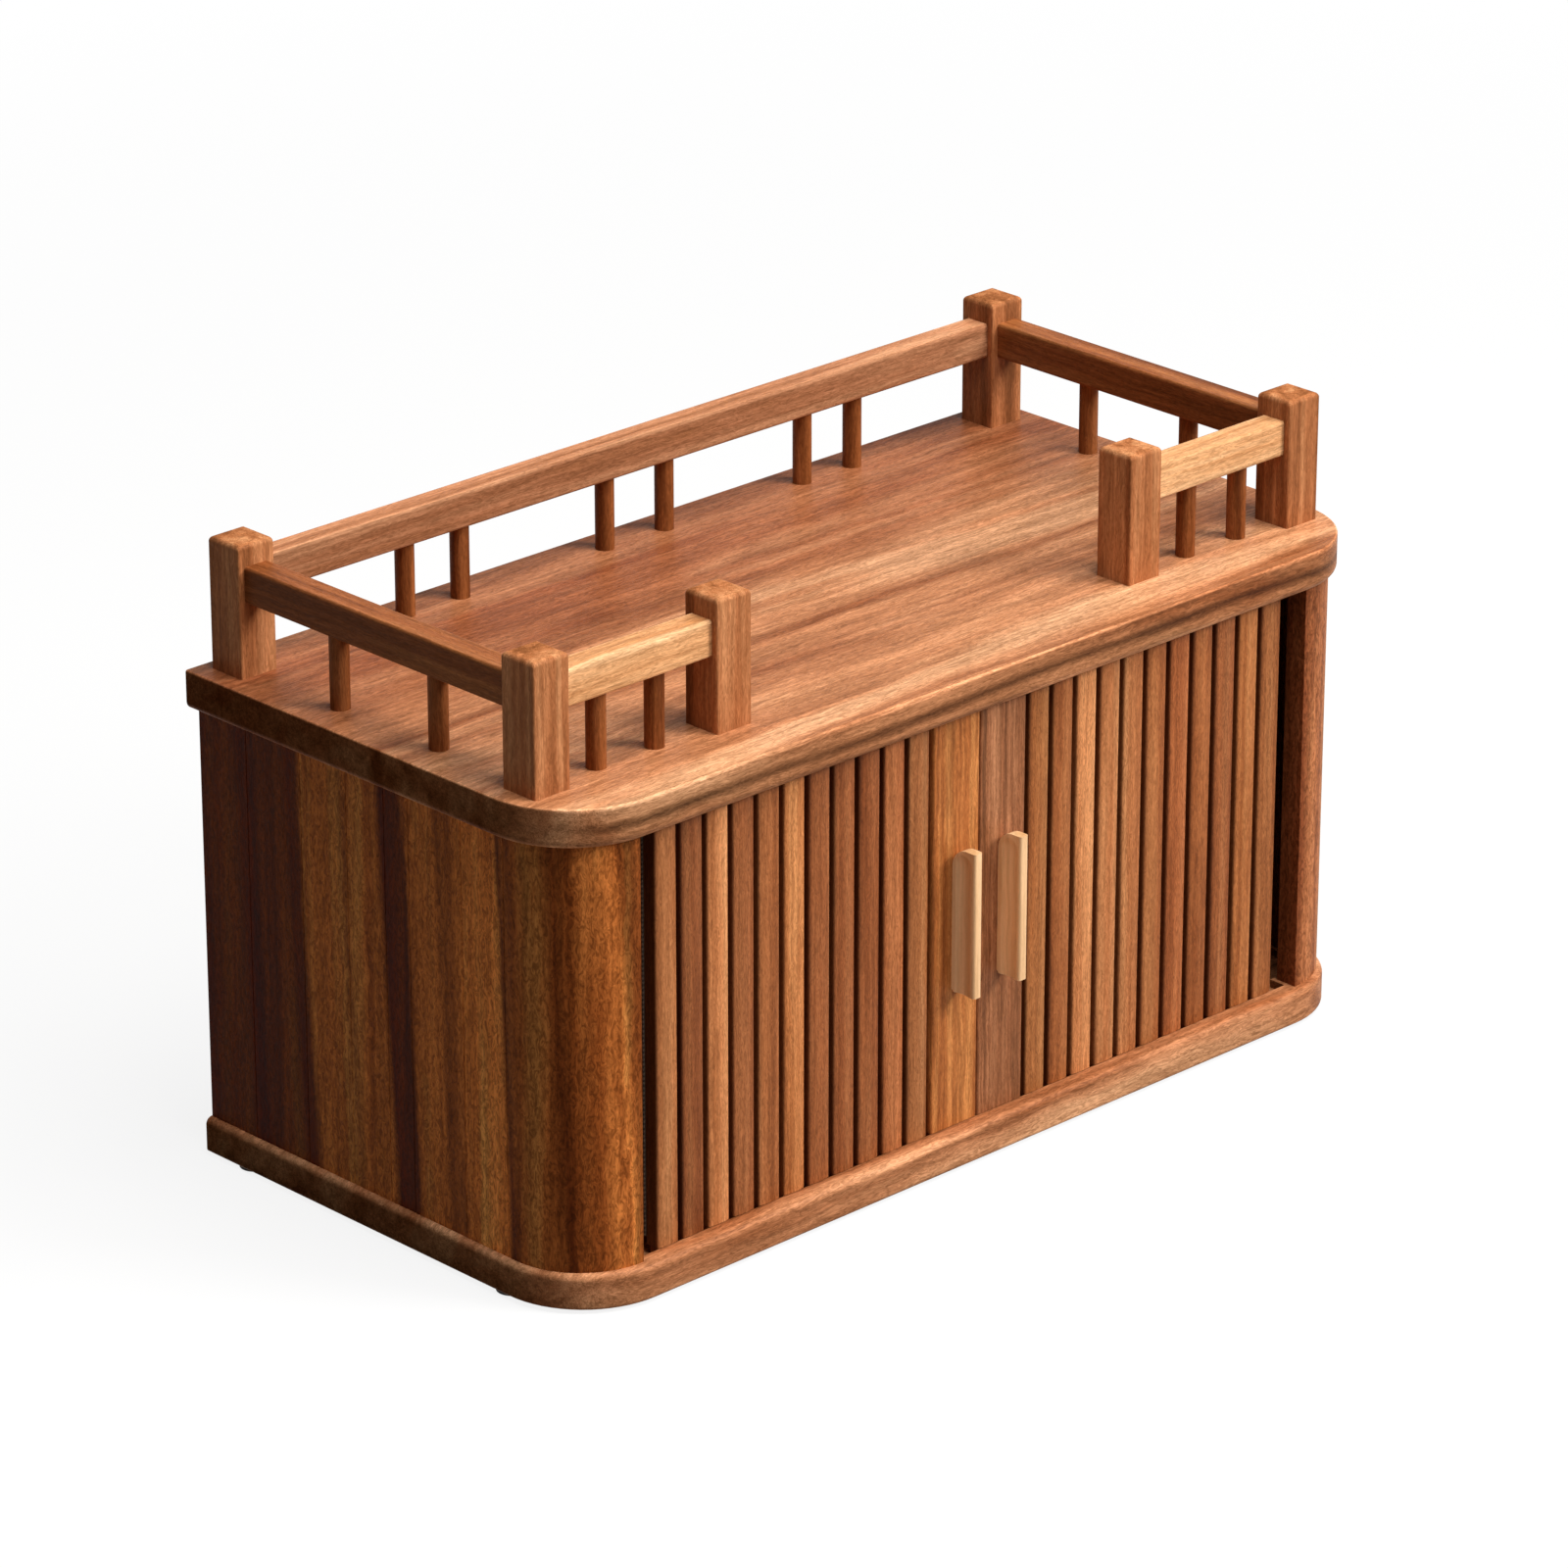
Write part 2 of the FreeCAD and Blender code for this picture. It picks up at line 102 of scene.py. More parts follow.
def woodMaterial(name, look):
    # Acacia, planed and sanded, then wiped with oil: wandering interlocked grain, golden fleck, thin dark
    # streaks and open short pores. The oil leaves a soft satin film, so the gloss is low, the pores are
    # duller than the wood, and end grain drinks the oil and stays matt. A pore is 0.1 to 0.2 mm wide on
    # the real wood and is drawn at 0.5 mm, so that it shows.
    material, tree = newMaterial(name)
    coordinate = addNode(tree, "ShaderNodeTexCoord")
    flat = coordinate.outputs["Object"]
    if look.get("staves"):
        flat = unrolledPanel(tree, flat, look["staves"])
    wander = grainLayer(tree, flat, look, "curl").outputs["Color"]
    curled = addNode(tree, "ShaderNodeVectorMath", {"operation": "MULTIPLY_ADD"}, {
        0: wander, 1: [look["curlDepthMm"] / perMetre] * 3, 2: flat}).outputs["Vector"]
    layers = {layer: grainLayer(tree, curled, look, layer).outputs["Fac"]
              for layer in ("band", "ribbon", "streak", "fleck", "pore")}

    colours = [linearColour(look[shade]) for shade in ("dark", "mid", "light")]
    band = addNode(tree, "ShaderNodeValToRGB", inputs={"Fac": layers["band"]})
    tones = [setStops(band, list(zip(look["bandAt"], colours)))]
    if look.get("tones"):
        tones += slatShades(tree, look["tones"])
    if look.get("staves"):
        tones.append(stripeTone(tree, flat, "X", look["staves"]))
    if look.get("backwardDarkening"):
        tones.append(stripeTone(tree, flat, "Y", look["backwardDarkening"]))
    for layer, span in look["spans"].items():
        shade = addNode(tree, "ShaderNodeValToRGB", inputs={"Fac": layers[layer]})
        tones.append(setStops(shade, list(zip(woodLook["spanAt"], map(warmShade, span)))))
    facing = addNode(tree, "ShaderNodeSeparateXYZ", inputs={"Vector": coordinate.outputs["Normal"]})
    # Painted highlights and shade on the board edges, by height
    if look.get("edge"):
        tones.append(paintedEdgeLight(tree, flat, facing, look["edge"]))
    body = tones[0]
    for tone in tones[1:]:
        body = addNode(tree, "ShaderNodeMix", {"data_type": "RGBA", "blend_type": "MULTIPLY"}, {
            0: 1.0, 6: body, 7: tone}).outputs[2]

    if look.get("paintedTopLight"):
        # Painted light: the top faces are made paler, as the light from above falls on them
        level = levelFaces(tree, facing.outputs["Z"])
        body = addNode(tree, "ShaderNodeMix", {"data_type": "RGBA", "blend_type": "MULTIPLY"}, {
            0: level, 6: body, 7: grey(look["paintedTopLight"])}).outputs[2]
    # End grain takes endShade of the colour: below 1 it darkens, as end grain drinks the oil; above 1, on the
    # posts and dowels, it is a painted highlight
    alongGrain = addNode(tree, "ShaderNodeMath", {"operation": "ABSOLUTE"}, {
        0: facing.outputs[look["along"]]})
    endGrain = addNode(tree, "ShaderNodeMath", {"operation": "POWER"}, {
        0: alongGrain.outputs[0], 1: woodLook["endGrainPower"]}).outputs[0]
    body = addNode(tree, "ShaderNodeMix", {"data_type": "RGBA", "blend_type": "MULTIPLY"}, {
        0: endGrain, 6: body, 7: warmShade(look["endShade"])}).outputs[2]
    gloss = addNode(tree, "ShaderNodeMath", {"operation": "MULTIPLY_ADD"}, {
        0: endGrain, 1: -look["gloss"], 2: look["gloss"]}).outputs[0]

    dullness = (look["roughness"] + woodLook["poreDullness"], look["roughness"])
    rough = setStops(addNode(tree, "ShaderNodeValToRGB", inputs={"Fac": layers["pore"]}),
                     list(zip(woodLook["poreAt"], map(grey, dullness))))
    height = addNode(tree, "ShaderNodeMath", {"operation": "MULTIPLY_ADD"}, {
        0: layers["fleck"], 1: woodLook["fleckDepth"], 2: layers["pore"]}).outputs[0]
    bump = addNode(tree, "ShaderNodeBump", inputs={
        "Strength": look["bump"], "Distance": woodLook["bumpDistance"], "Height": height}).outputs["Normal"]
    shader = addNode(tree, "ShaderNodeBsdfPrincipled", inputs={
        "IOR": 1.5, "Base Color": body, "Roughness": rough, "Normal": bump, "Specular IOR Level": gloss})
    addNode(tree, "ShaderNodeOutputMaterial", inputs={"Surface": shader.outputs["BSDF"]})
    return material


def levelFaces(tree, upward):
    # 1 on faces that look straight up, 0 on the rest, with the rounded arris between
    ramp = addNode(tree, "ShaderNodeValToRGB", inputs={"Fac": upward})
    return setStops(ramp, [(woodLook["levelFrom"], grey(0.0)), (woodLook["levelTo"], grey(1.0))])


def slatShades(tree, tones):
    # Each slat was cut from another board, so its tone is drawn by its place across the door. Painted
    # shade darkens the long edges, more on the left edge, which turns away from the light. The slat beside
    # the lead is a dark one, and painted shade darkens those that stand in the corner's shade.
    place = addNode(tree, "ShaderNodeTexCoord").outputs["Object"]
    x = addNode(tree, "ShaderNodeSeparateXYZ", inputs={"Vector": place}).outputs["X"]
    side = addNode(tree, "ShaderNodeMath", {"operation": "SIGN"}, {0: x}).outputs[0]
    fromMiddle = addNode(tree, "ShaderNodeMath", {"operation": "ABSOLUTE"}, {0: x}).outputs[0]
    count = addNode(tree, "ShaderNodeMapRange", {"clamp": False}, {
        "Value": fromMiddle, "From Min": tones["start"], "From Max": tones["start"] + tones["pitch"]})
    count = count.outputs["Result"]
    number = addNode(tree, "ShaderNodeMath", {"operation": "FLOOR"}, {0: count}).outputs[0]
    seed = addNode(tree, "ShaderNodeMath", {"operation": "MULTIPLY_ADD"}, {
        0: side, 1: tones["sideSeed"], 2: tones["seed"]}).outputs[0]
    drawn = addNode(tree, "ShaderNodeMath", {"operation": "ADD"}, {0: number, 1: seed}).outputs[0]
    pick = addNode(tree, "ShaderNodeTexWhiteNoise", {"noise_dimensions": "1D"}, {"W": drawn})
    step = 1.0 / len(tones["colours"])
    colours = addNode(tree, "ShaderNodeValToRGB", inputs={"Fac": pick.outputs["Value"]})
    tone = setStops(colours, [(i * step, linearColour(c)) for i, c in enumerate(tones["colours"])], True)

    part = addNode(tree, "ShaderNodeMath", {"operation": "FRACT"}, {0: count}).outputs[0]
    centred = addNode(tree, "ShaderNodeMath", {"operation": "SUBTRACT"}, {0: part, 1: 0.5}).outputs[0]
    across = addNode(tree, "ShaderNodeMath", {"operation": "MULTIPLY_ADD"}, {
        0: centred, 1: side, 2: 0.5}).outputs[0]
    # Painted shade along both long edges of each slat, deeper on the left edge
    edge = tones["gap"] / 2 / tones["pitch"]
    reach = tones["shadedMm"] / perMetre / tones["pitch"]
    left, middle, right = tones["shaded"]
    paintedEdgeShade = setStops(addNode(tree, "ShaderNodeValToRGB", inputs={"Fac": across}), [
        (edge, warmShade(left)),
        (edge + reach * tones["leftReach"], warmShade(middle)),
        (edge + reach, grey(1.0)),
        (1.0 - edge - reach * tones["rightReach"], grey(1.0)),
        (1.0 - edge, warmShade(right))])

    # Painted shade on the slats by the corner; the slat beside the lead is darker too
    share = addNode(tree, "ShaderNodeMath", {"operation": "DIVIDE"}, {0: count, 1: tones["slats"]}).outputs[0]
    ends = setStops(addNode(tree, "ShaderNodeValToRGB", inputs={"Fac": share}), [
        (tones["leadEnd"][0], warmShade(tones["leadShade"])), (tones["leadEnd"][1], grey(1.0)),
        (tones["cornerFrom"], grey(1.0)), (1.0, warmShade(tones["cornerShade"]))])
    return [tone, paintedEdgeShade, ends]


def unrolledPanel(tree, place, staves):
    # Lays the panel and its quarter round out flat, so that the grain runs on round the corner. The depth
    # under the outer face is kept, so that the cut end shows grain too.
    parts = addNode(tree, "ShaderNodeSeparateXYZ", inputs={"Vector": place})
    side = addNode(tree, "ShaderNodeMath", {"operation": "SIGN"}, {0: parts.outputs["X"]}).outputs[0]
    across = addNode(tree, "ShaderNodeMath", {"operation": "ABSOLUTE"}, {0: parts.outputs["X"]}).outputs[0]
    outward = addNode(tree, "ShaderNodeMath", {"operation": "SUBTRACT"}, {
        0: across, 1: staves["centreX"]}).outputs[0]
    ahead = addNode(tree, "ShaderNodeMath", {"operation": "SUBTRACT"}, {
        0: staves["centreY"], 1: parts.outputs["Y"]}).outputs[0]
    forward = addNode(tree, "ShaderNodeMath", {"operation": "MAXIMUM"}, {0: ahead, 1: 0.0}).outputs[0]
    behind = addNode(tree, "ShaderNodeMath", {"operation": "MINIMUM"}, {0: ahead, 1: 0.0}).outputs[0]
    turn = addNode(tree, "ShaderNodeMath", {"operation": "ARCTAN2"}, {0: forward, 1: outward}).outputs[0]
    run = addNode(tree, "ShaderNodeMath", {"operation": "MULTIPLY_ADD"}, {
        0: turn, 1: staves["radius"], 2: behind}).outputs[0]
    arm = addNode(tree, "ShaderNodeCombineXYZ", inputs={"X": outward, "Y": forward}).outputs["Vector"]
    reach = addNode(tree, "ShaderNodeVectorMath", {"operation": "LENGTH"}, {0: arm}).outputs["Value"]
    depth = addNode(tree, "ShaderNodeMath", {"operation": "MULTIPLY_ADD"}, {
        0: side, 1: staves["sideStep"], 2: reach}).outputs[0]
    return addNode(tree, "ShaderNodeCombineXYZ", inputs={
        "X": run, "Y": depth, "Z": parts.outputs["Z"]}).outputs["Vector"]


def stripeTone(tree, place, across, stripes):
    # Dark and pale stripes across a board, leaning and wandering along the grain: heartwood and sapwood
    # across the glued-up panels, and on the top board a tone that goes darker towards the back
    parts = addNode(tree, "ShaderNodeSeparateXYZ", inputs={"Vector": place})
    slow = addNode(tree, "ShaderNodeMapping", inputs={
        "Scale": stripes["wandersPerMetre"], "Vector": place}).outputs["Vector"]
    wander = addNode(tree, "ShaderNodeTexNoise", inputs={"Scale": 1.0, "Detail": 2.0, "Vector": slow})
    swing = stripes["wanderMm"] / perMetre
    drift = addNode(tree, "ShaderNodeMath", {"operation": "MULTIPLY_ADD"}, {
        0: wander.outputs["Fac"], 1: swing, 2: -swing / 2}).outputs[0]
    lean = addNode(tree, "ShaderNodeMapRange", {"clamp": False}, {
        "Value": parts.outputs["Z"], "To Min": -stripes["leanMm"] / perMetre / 2,
        "To Max": stripes["leanMm"] / perMetre / 2, "From Max": stripes["leanHeight"]}).outputs["Result"]
    moved = addNode(tree, "ShaderNodeMath", {"operation": "ADD"}, {0: drift, 1: lean}).outputs[0]
    run = addNode(tree, "ShaderNodeMath", {"operation": "ADD"}, {
        0: parts.outputs[across], 1: moved}).outputs[0]
    share = addNode(tree, "ShaderNodeMapRange", {"clamp": False}, {
        "Value": run, "From Min": -stripes["start"], "From Max": stripes["length"] - stripes["start"]})
    lengthMm = stripes["length"] * perMetre
    pale = setStops(addNode(tree, "ShaderNodeValToRGB", inputs={"Fac": share.outputs["Result"]}), [
        (edgeMm / lengthMm, grey(sapwood)) for edgeMm, sapwood in stripes["stops"]])
    return addNode(tree, "ShaderNodeMix", {"data_type": "RGBA"}, {
        0: pale, 6: linearColour(stripes["heartwood"]), 7: linearColour(stripes["sapwood"])}).outputs[2]


def paintedEdgeLight(tree, place, facing, edge):
    # Painted light and shade up the board's edge face by height: painted highlights, darker bands between
    height = addNode(tree, "ShaderNodeSeparateXYZ", inputs={"Vector": place}).outputs["Z"]
    share = addNode(tree, "ShaderNodeMapRange", {"clamp": False}, {
        "Value": height, "From Min": edge["low"], "From Max": edge["high"]}).outputs["Result"]
    slow = addNode(tree, "ShaderNodeTexNoise", inputs={
        "Scale": edge["wandersPerMetre"], "Detail": 1.0, "Vector": place}).outputs["Fac"]
    drift = addNode(tree, "ShaderNodeMath", {"operation": "MULTIPLY_ADD"}, {
        0: slow, 1: edge["wander"], 2: -edge["wander"] / 2}).outputs[0]
    level = addNode(tree, "ShaderNodeMath", {"operation": "ADD"}, {0: drift, 1: share}).outputs[0]
    tone = setStops(addNode(tree, "ShaderNodeValToRGB", inputs={"Fac": level}), [
        (stop, warmShade(shade)) for stop, shade in edge["stops"]])
    steep = addNode(tree, "ShaderNodeMath", {"operation": "ABSOLUTE"}, {0: facing.outputs["Z"]}).outputs[0]
    sideways = addNode(tree, "ShaderNodeMath", {"operation": "MULTIPLY"}, {
        0: facing.outputs["X"], 1: facing.outputs["X"]}).outputs[0]
    faded = addNode(tree, "ShaderNodeMath", {"operation": "MULTIPLY"}, {
        0: sideways, 1: edge["endFade"]}).outputs[0]
    hidden = addNode(tree, "ShaderNodeMath", {"operation": "MAXIMUM"}, {
        0: levelFaces(tree, steep), 1: faded}).outputs[0]
    return addNode(tree, "ShaderNodeMix", {"data_type": "RGBA"}, {
        0: hidden, 6: tone, 7: grey(1.0)}).outputs[2]


def dress(names, material):
    for name in names:
        for slot in nodes[name].material_slots:
            slot.material = material


def namesEnding(ending):
    return [name for name in nodes if name.endswith(ending)]


def namesWith(word):
    return [name for name in nodes if word in name]


# Cabinet boards
boardLook = {
    "along": "X", "dark": "#a05f38", "mid": "#cd8c60", "light": "#e2a87b", "bandAt": (0.32, 0.5, 0.66),
    "grainMm": {"curl": (24.0, 9.0), "band": (260.0, 24.0), "ribbon": (78.0, 5.28), "streak": (60.0, 1.6),
                "fleck": (7.0, 1.4), "pore": (7.0, 0.5)},
    "fleckTwist": 2.2, "curlDepthMm": 4.0,
    "spans": {"ribbon": (0.76, 1.1), "streak": (0.76, 1.08), "fleck": (0.66, 1.16), "pore": (0.82, 1.04)},
    "roughness": 0.42, "bump": 0.3, "gloss": 0.07, "endShade": 0.32, "shift": (0.0, 0.0, 0.0),
}
# The top board goes darker, unevenly, towards the back
topBackwardDarkening = {
    "start": 0.107, "length": 0.22, "leanMm": 0.0, "leanHeight": 0.2, "wanderMm": 26.0,
    "wandersPerMetre": (4.0, 18.0, 18.0), "heartwood": "#b58f78", "sapwood": "#ffffff",
    "stops": [(0, 1.0), (40, 0.95), (62, 0.6), (80, 0.85), (120, 0.75), (150, 0.3), (185, 0.1), (210, 0.3)],
}
# On the top board: painted highlights on the upper arris and along the lower rim, a dark band between
topEdgePaintedLight = {
    "low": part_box("top_board")[0].z, "high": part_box("top_board")[1].z,
    "wandersPerMetre": 9.0, "wander": 0.3, "endFade": 0.85,
    "stops": [(0.0, 1.3), (0.07, 1.0), (0.13, 0.66), (0.3, 0.74), (0.4, 0.42), (0.5, 0.2), (0.58, 0.34),
              (0.66, 0.7), (0.84, 0.84), (0.9, 0.8), (0.94, 1.5)],
}
# On the base: painted shade low on the edge and a painted highlight along its rounded top
baseEdgePaintedLight = {
    "low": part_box("base_board")[0].z, "high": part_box("base_board")[1].z,
    "wandersPerMetre": 9.0, "wander": 0.0, "endFade": 0.0,
    "stops": [(0.0, 0.7), (0.15, 0.85), (0.4, 1.0), (0.8, 1.0), (0.9, 1.12)],
}
topLook = dict(boardLook, backwardDarkening=topBackwardDarkening, edge=topEdgePaintedLight, endShade=0.36)
baseLook = dict(boardLook, edge=baseEdgePaintedLight, mid="#cb8b60", endShade=0.38, shift=(4.0, 2.0, 6.0))
dress(["top_board"], woodMaterial("oiled acacia top board", topLook))
dress(["base_board"], woodMaterial("oiled acacia base board", baseLook))
print("boards dressed")

# Side panels, glued from staves, and the back. The box of the right panel reaches inwards to the
# opening, where its quarter round ends.
panelLow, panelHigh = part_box("right_side_panel")
cornerRadius = panelHigh.x - panelLow.x
cornerCentreY = panelLow.y + cornerRadius
flatLength = panelHigh.y - cornerCentreY
staveTones = {
    "centreX": panelLow.x, "centreY": cornerCentreY, "radius": cornerRadius, "sideStep": 0.9,
    "start": flatLength, "length": flatLength + cornerRadius * math.pi / 2,
    "leanMm": 9.0, "leanHeight": 0.2, "wanderMm": 7.0, "wandersPerMetre": (25.0, 25.0, 9.0),
    "heartwood": "#5e3a20", "sapwood": "#ffffff",
    # Millimetres from the back edge round to the opening, and the share of sapwood there
    "stops": [(0, 0.0), (6, 0.03), (18, 0.1), (27, 0.0), (32, 0.0), (38, 0.1), (50, 0.14), (57, 0.0),
              (61, 0.05), (65, 0.62), (84, 0.6), (88, 0.3), (92, 0.66), (106, 0.6), (110, 0.0), (121, 0.06),
              (124, 0.62), (139, 0.66), (142, 0.34), (148, 0.4), (153, 0.85), (172, 1.0), (175, 0.9),
              (177, 0.08), (180, 0.34), (197, 0.42), (203, 0.12), (208, 0.56), (221, 0.66), (228, 0.72),
              (230, 0.34), (233, 0.18)],
}
leftPanelLook = {
    "along": "Z", "dark": "#b25f28", "mid": "#e88a42", "light": "#f8a858", "bandAt": (0.3, 0.48, 0.66),
    "grainMm": {"curl": (14.0, 7.0), "band": (420.0, 13.0), "ribbon": (126.0, 2.86), "streak": (90.0, 1.8),
                "fleck": (4.2, 1.7), "pore": (4.5, 0.5)},
    "fleckTwist": 1.6, "curlDepthMm": 4.0,
    "spans": {"ribbon": (0.74, 1.12), "streak": (0.82, 1.06), "fleck": (0.54, 1.26), "pore": (0.92, 1.03)},
    "roughness": 0.45, "bump": 0.3, "gloss": 0.04, "endShade": 0.6, "shift": (3.0, 7.0, 1.0),
    "staves": staveTones,
}
rightPanelLook = dict(leftPanelLook, staves=dict(staveTones, heartwood="#8a6450"),
                      dark="#98582f", mid="#c47a4c", light="#d8935f", shift=(9.0, 2.0, 5.0))
backLook = dict(leftPanelLook, staves=None, spans=dict(boardLook["spans"], fleck=(0.8, 1.1)),
                dark="#7a4522", mid="#a3643a", light="#b87a4b", shift=(1.0, 2.0, 3.0))
dress(["left_side_panel"], woodMaterial("oiled acacia staves", leftPanelLook))
dress(["right_side_panel"], woodMaterial("oiled acacia right staves", rightPanelLook))
dress(["back_panel"], woodMaterial("oiled acacia back", backLook))
print("panels dressed")

# Gallery rail
railBase = dict(boardLook, grainMm=dict(boardLook["grainMm"], band=(260.0, 10.0), ribbon=(78.0, 2.2)),
                curlDepthMm=2.0, gloss=0.05, endShade=0.85,
                spans={"ribbon": (0.82, 1.08), "streak": (0.8, 1.06), "fleck": (0.74, 1.12),
                       "pore": (0.84, 1.04)})
# The long and side rails have dark colours, which paint the shade on their sides, and their tops are made
# paler again, painted light from above
backRailLook = dict(railBase, dark="#7c4d2c", mid="#9e6847", light="#b07d5a", paintedTopLight=1.7,
                    shift=(5.0, 1.0, 2.0))
sideRailLook = dict(railBase, along="Y", dark="#623417", mid="#854b27", light="#9a5f35", paintedTopLight=1.4,
                    shift=(2.0, 6.0, 4.0))
shortRailLook = dict(railBase, dark="#cb8b57", mid="#e2a874", light="#efbd8c", paintedTopLight=1.06,
                     shift=(8.0, 3.0, 1.0))
# On the posts and dowels the end grain is paler: a painted highlight on their tops
postLook = dict(railBase, along="Z", dark="#88522f", mid="#ae6c42", light="#c8885a", endShade=1.15,
                shift=(1.0, 4.0, 7.0))
spindleLook = dict(postLook, dark="#6a371a", mid="#8c5029", light="#a26238", shift=(6.0, 2.0, 5.0))
dress(["back_rail"], woodMaterial("oiled acacia long rail", backRailLook))
dress(["left_rail", "right_rail"], woodMaterial("oiled acacia side rail", sideRailLook))
dress(["front_left_rail", "front_right_rail"], woodMaterial("oiled acacia sapwood rail", shortRailLook))
dress(namesEnding("_post"), woodMaterial("oiled acacia post", postLook))
dress(namesEnding("_spindles"), woodMaterial("oiled acacia dowel", spindleLook))
print("gallery rail dressed")

# Door curtains. Slats are counted outwards from the lead.
firstSlat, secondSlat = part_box("right_slat_01"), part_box("right_slat_02")
slatPitch = secondSlat[0].x - firstSlat[0].x
slatGap = secondSlat[0].x - firstSlat[1].x
slatTones = {
    "start": firstSlat[0].x - slatGap / 2, "pitch": slatPitch, "gap": slatGap,
    "slats": len(namesWith("right_slat_")), "seed": 11.0, "sideSeed": 37.0,
    # Painted shade on each slat's long edges, and on the slats by the corner
    "shadedMm": 2.0, "shaded": (0.32, 0.773, 0.72), "leftReach": 0.5, "rightReach": 0.4,
    "leadEnd": (0.088, 0.094), "leadShade": 0.62, "cornerFrom": 0.76, "cornerShade": 0.6,
    "colours": ["#bca593", "#ddcfc0", "#f0e6da", "#c9b49e", "#ecdcc4", "#cfb4a0", "#f7ede0", "#e0cfbc"],
}
slatLook = {
    "along": "Z", "dark": "#ae6b3e", "mid": "#d48d5b", "light": "#e2a16e", "bandAt": (0.3, 0.5, 0.68),
    "grainMm": {"curl": (24.0, 8.0), "band": (380.0, 8.0), "ribbon": (114.0, 1.76), "streak": (50.0, 1.3),
                "fleck": (6.0, 1.2), "pore": (5.0, 0.5)},
    "fleckTwist": 2.6, "curlDepthMm": 2.5,
    "spans": {"ribbon": (0.84, 1.08), "streak": (0.84, 1.06), "fleck": (0.68, 1.16), "pore": (0.86, 1.04)},
    "roughness": 0.44, "bump": 0.22, "gloss": 0.12, "endShade": 0.7, "shift": (2.0, 9.0, 4.0),
    "tones": slatTones,
}
leftLeadLook = dict(slatLook, tones=None, dark="#8a4a22", mid="#b86c36", light="#d48a4c",
                    grainMm=dict(slatLook["grainMm"], band=(380.0, 7.0), ribbon=(114.0, 1.54)),
                    spans={"ribbon": (0.7, 1.12), "streak": (0.72, 1.08), "fleck": (0.74, 1.12),
                           "pore": (0.84, 1.04)},
                    shift=(4.0, 1.0, 9.0))
rightLeadLook = dict(leftLeadLook, dark="#76482a", mid="#a26540", light="#ba7d55", shift=(7.0, 5.0, 2.0))
dress(namesWith("_slat_"), woodMaterial("oiled acacia slat", slatLook))
dress(["left_lead_stile"], woodMaterial("oiled acacia left lead", leftLeadLook))
dress(["right_lead_stile"], woodMaterial("oiled acacia right lead", rightLeadLook))
print("curtains dressed")

# Pull fins: pale maple, milled and sanded smooth, then sealed. The seal gives them more gloss than the
# oiled wood, and hardly any grain shows.
pullLook = dict(slatLook, tones=None, dark="#dba873", mid="#eebf8d", light="#f7cf9f",
                spans={"ribbon": (0.92, 1.03), "streak": (0.92, 1.02), "fleck": (0.95, 1.02),
                       "pore": (0.95, 1.01)},
                bump=0.06, roughness=0.4, gloss=0.3, shift=(3.0, 3.0, 3.0))
dress(["left_pull", "right_pull"], woodMaterial("sealed maple", pullLook))


def clothMaterial(look):
    # Cotton duck, plain woven, glued behind the slats: matt, two sets of threads over and under
    # each other. They are drawn at twice their real thickness, so that the weave shows.
    material, tree = newMaterial("cotton duck")
    place = addNode(tree, "ShaderNodeTexCoord").outputs["Object"]
    turnLength = math.pi / 10  # of a wave texture at scale 1
    waves = [addNode(tree, "ShaderNodeTexWave", {"bands_direction": axis}, {
        "Scale": turnLength / (2 * look["threadMm"] / perMetre), "Distortion": look["unevenness"],
        "Detail": 1.0, "Vector": place}).outputs["Fac"] for axis in ("X", "Z")]
    weave = addNode(tree, "ShaderNodeMath", {"operation": "MULTIPLY"}, {0: waves[0], 1: waves[1]}).outputs[0]
    low, high = look["weaveAt"]
    colour = setStops(addNode(tree, "ShaderNodeValToRGB", inputs={"Fac": weave}), [
        (low, linearColour(look["shade"])), (high, linearColour(look["thread"]))])
    bump = addNode(tree, "ShaderNodeBump", inputs={
        "Strength": 0.5, "Distance": look["threadDepth"], "Height": weave}).outputs["Normal"]
    shader = addNode(tree, "ShaderNodeBsdfPrincipled", inputs={
        "Roughness": 0.9, "Sheen Weight": 0.05, "Base Color": colour, "Normal": bump})
    addNode(tree, "ShaderNodeOutputMaterial", inputs={"Surface": shader.outputs["BSDF"]})
    return material


clothLook = {"thread": "#6f5843", "shade": "#3a2c20", "weaveAt": (0.1, 0.8), "threadMm": 1.0,
             "threadDepth": 0.0003, "unevenness": 0.6}
dress(namesWith("_cloth_"), clothMaterial(clothLook))
print("pulls and cloth dressed")


def speckledMaterial(name, look):
    # Small hidden hardware: one tone with a fine speckle in its colour and gloss
    material, tree = newMaterial(name)
    place = addNode(tree, "ShaderNodeTexCoord").outputs["Object"]
    speckle = addNode(tree, "ShaderNodeTexNoise", inputs={
        "Scale": perMetre / look["grainMm"], "Detail": 3.0, "Vector": place}).outputs["Fac"]
    low, high = look["speckleAt"]
    colour = setStops(addNode(tree, "ShaderNodeValToRGB", inputs={"Fac": speckle}), [
        (low, linearColour(look["shade"])), (high, linearColour(look["colour"]))])
    rough = setStops(addNode(tree, "ShaderNodeValToRGB", inputs={"Fac": speckle}), [
        (low, grey(look["roughness"] + look["dullness"])), (high, grey(look["roughness"]))])
    shader = addNode(tree, "ShaderNodeBsdfPrincipled", inputs={
        "Metallic": look["metallic"], "Base Color": colour, "Roughness": rough})
    addNode(tree, "ShaderNodeOutputMaterial", inputs={"Surface": shader.outputs["BSDF"]})
    return material


# Steel screws, zinc plated and passivated, which is bright with a faint cloudiness
screwLook = {"colour": "#b9b6ae", "shade": "#98958c", "grainMm": 0.6, "speckleAt": (0.35, 0.65),
             "roughness": 0.3, "dullness": 0.1, "metallic": 1.0}
